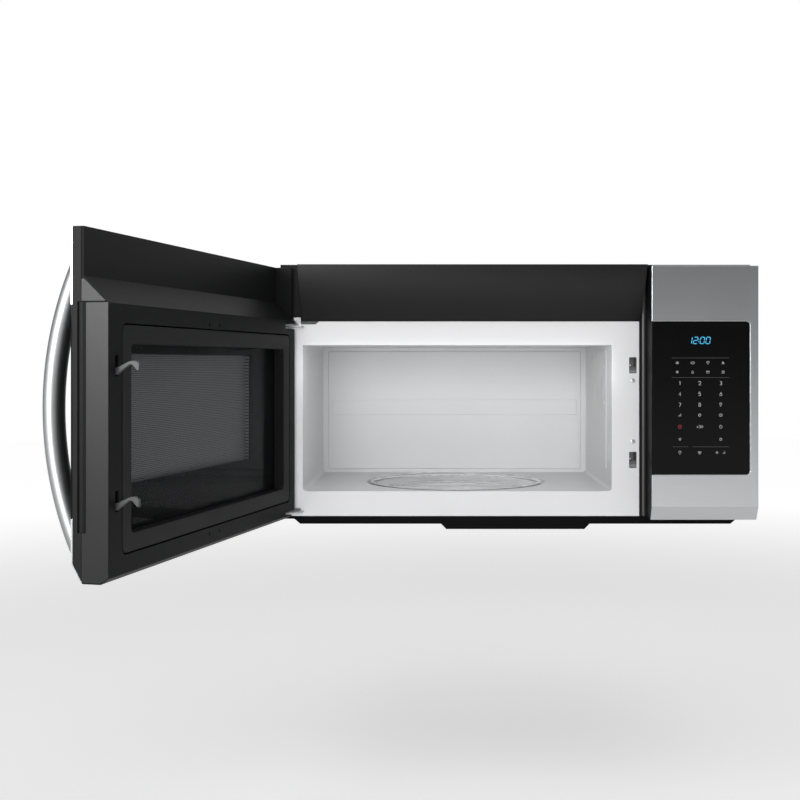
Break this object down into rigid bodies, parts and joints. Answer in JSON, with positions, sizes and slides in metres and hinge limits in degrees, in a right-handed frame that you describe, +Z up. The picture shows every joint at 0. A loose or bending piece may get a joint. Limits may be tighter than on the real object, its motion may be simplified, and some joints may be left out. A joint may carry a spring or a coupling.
{
  "type": "over the range microwave oven",
  "caption": "Wall-mounted over-the-range microwave oven with a side-hinged door, bowed handle, touch panel, glass turntable and a range vent with grease filters.",
  "frame": {"origin": "on the rear face that lies on the wall, midway between the two wall slots", "axes": "+Z up, +Y into the wall, so the door faces -Y, and +X to the right as one faces the door"},
  "size_m": [0.9593, 0.9315, 0.427],
  "materials": {
    "black_steel": "semi-gloss black enamel",
    "white_enamel": "gloss white enamel",
    "cavity_enamel": "satin light grey enamel",
    "base_enamel": "satin black enamel",
    "galvanised_steel": "zinc-plated sheet",
    "satin_stainless": "brushed stainless steel",
    "black_plastic": "fine-grained black plastic",
    "gloss_black_plastic": "polished black plastic",
    "grey_plastic": "matte grey plastic",
    "white_plastic": "matte white plastic",
    "black_glass": "black printed glass",
    "clear_glass": "clear pressed glass",
    "door_window_glass": "clear glass with a black border",
    "perforated_steel": "black perforated sheet",
    "filter_mesh": "layered aluminium mesh",
    "charcoal": "charcoal granules in a frame",
    "mica": "mica board",
    "core_steel": "varnished steel laminations",
    "copper_winding": "enamelled copper wire",
    "aluminium_can": "drawn aluminium",
    "circuit_board": "solder-masked board",
    "screw_steel": "zinc-plated steel",
    "spring_steel": "spring steel"
  },
  "bodies": {
    "cabinet": {"outer_case": "black_steel", "back_plate": "galvanised_steel", "base_plate": "base_enamel", "bay_floor": "galvanised_steel", "cavity_box": "cavity_enamel", "front_frame": "white_enamel", "mica_cover": "mica", "vent_cover": "gloss_black_plastic", "vent_end_cap": "black_plastic", "charcoal_filter": "charcoal", "hinge_bracket_upper": "galvanised_steel", "hinge_bracket_lower": "galvanised_steel", "hinge_pins": "screw_steel", "control_frame": "black_plastic", "control_bezel": "satin_stainless", "touch_panel_glass": "black_glass", "display_module": "black_plastic", "control_board": "circuit_board", "latch_housing": "white_plastic", "interlock_switches": "black_plastic", "frame_screws": "screw_steel", "case_screws": "screw_steel", "waveguide": "galvanised_steel", "magnetron": "galvanised_steel", "transformer_core": "core_steel", "transformer_coils": "copper_winding", "hv_capacitor": "aluminium_can", "fan_shroud": "grey_plastic", "fan_motor": "core_steel", "blower_housing": "galvanised_steel", "blower_motor": "core_steel", "cavity_lamp": "white_plastic", "lamp_lenses": "clear_glass", "cooktop_lamps": "white_plastic", "cord_gland": "black_plastic", "turntable_motor": "galvanised_steel"},
    "door": {"door_skin": "satin_stainless", "door_front_glass": "black_glass", "door_frame": "black_plastic", "door_pan": "black_steel", "hinge_bushes": "white_plastic", "choke_cover": "black_plastic", "door_inner_glass": "door_window_glass", "door_screen": "perforated_steel", "door_edge_trim": "grey_plastic", "door_handle": "satin_stainless", "handle_screws": "screw_steel", "latch_spring": "spring_steel"},
    "latch": {"latch_hooks": "black_plastic"},
    "coupler": {"turntable_coupler": "white_plastic"},
    "tray": {"glass_tray": "clear_glass"},
    "roller_support": {"roller_ring": "white_plastic"},
    "roller_a": {"roller_1": "white_plastic"},
    "roller_b": {"roller_2": "white_plastic"},
    "roller_c": {"roller_3": "white_plastic"},
    "blower": {"blower_rotor": "grey_plastic"},
    "cooling_fan": {"cooling_fan_blade": "black_plastic"},
    "filter_left": {"grease_filter_left": "filter_mesh"},
    "filter_right": {"grease_filter_right": "filter_mesh"},
    "plungers": {"interlock_plungers": "white_plastic"}
  },
  "joints": [
    {"name": "door_hinge", "type": "hinge", "parent": "cabinet", "child": "door", "pos_m": [-0.371, -0.3645, 0.176], "axis": [0, 0, 1], "range_deg": [0, 103.4]},
    {"name": "latch_slide", "type": "slide", "parent": "door", "child": "latch", "axis": [0, 0, 1], "range_m": [0, 0.004], "stiffness_N_per_m": 250, "springref_m": -0.006, "deforming": ["latch_spring"]},
    {"name": "coupler_spin", "type": "hinge", "parent": "cabinet", "child": "coupler", "pos_m": [-0.0938, -0.1793, 0], "axis": [0, 0, 1], "continuous": true},
    {"name": "tray_lift", "type": "slide", "parent": "coupler", "child": "tray", "axis": [0, 0, 1], "range_m": [0, 0.05]},
    {"name": "roller_ring_spin", "type": "hinge", "parent": "cabinet", "child": "roller_support", "pos_m": [-0.0938, -0.1793, 0.00215], "axis": [0, 0, 1], "continuous": true},
    {"name": "roller_a_spin", "type": "hinge", "parent": "roller_support", "child": "roller_a", "pos_m": [-0.01066, -0.1313, 0.00215], "axis": [0.866, 0.5, 0], "continuous": true},
    {"name": "roller_b_spin", "type": "hinge", "parent": "roller_support", "child": "roller_b", "pos_m": [-0.17694, -0.1313, 0.00215], "axis": [-0.866, 0.5, 0], "continuous": true},
    {"name": "roller_c_spin", "type": "hinge", "parent": "roller_support", "child": "roller_c", "pos_m": [-0.0938, -0.2753, 0.00215], "axis": [0, -1, 0], "continuous": true},
    {"name": "blower_spin", "type": "hinge", "parent": "cabinet", "child": "blower", "pos_m": [-0.0938, -0.07, 0.3221], "axis": [1, 0, 0], "continuous": true},
    {"name": "cooling_fan_spin", "type": "hinge", "parent": "cabinet", "child": "cooling_fan", "pos_m": [0.27, -0.048, 0.0842], "axis": [0, 1, 0], "continuous": true},
    {"name": "filter_left_slide", "type": "slide", "parent": "cabinet", "child": "filter_left", "axis": [0, 1, 0], "range_m": [0, 0.012]},
    {"name": "filter_right_slide", "type": "slide", "parent": "cabinet", "child": "filter_right", "axis": [0, 1, 0], "range_m": [0, 0.012]},
    {"name": "interlock_slide", "type": "slide", "parent": "cabinet", "child": "plungers", "axis": [0, 1, 0], "range_m": [0, 0.0012], "stiffness_N_per_m": 200, "springref_m": -0.002}
  ],
  "couplings": [
    {"joint": "roller_ring_spin", "follows": "coupler_spin", "ratio": 0.5},
    {"joint": "roller_a_spin", "follows": "coupler_spin", "ratio": -9.8969},
    {"joint": "roller_b_spin", "follows": "coupler_spin", "ratio": -9.8969},
    {"joint": "roller_c_spin", "follows": "coupler_spin", "ratio": -9.8969}
  ]
}
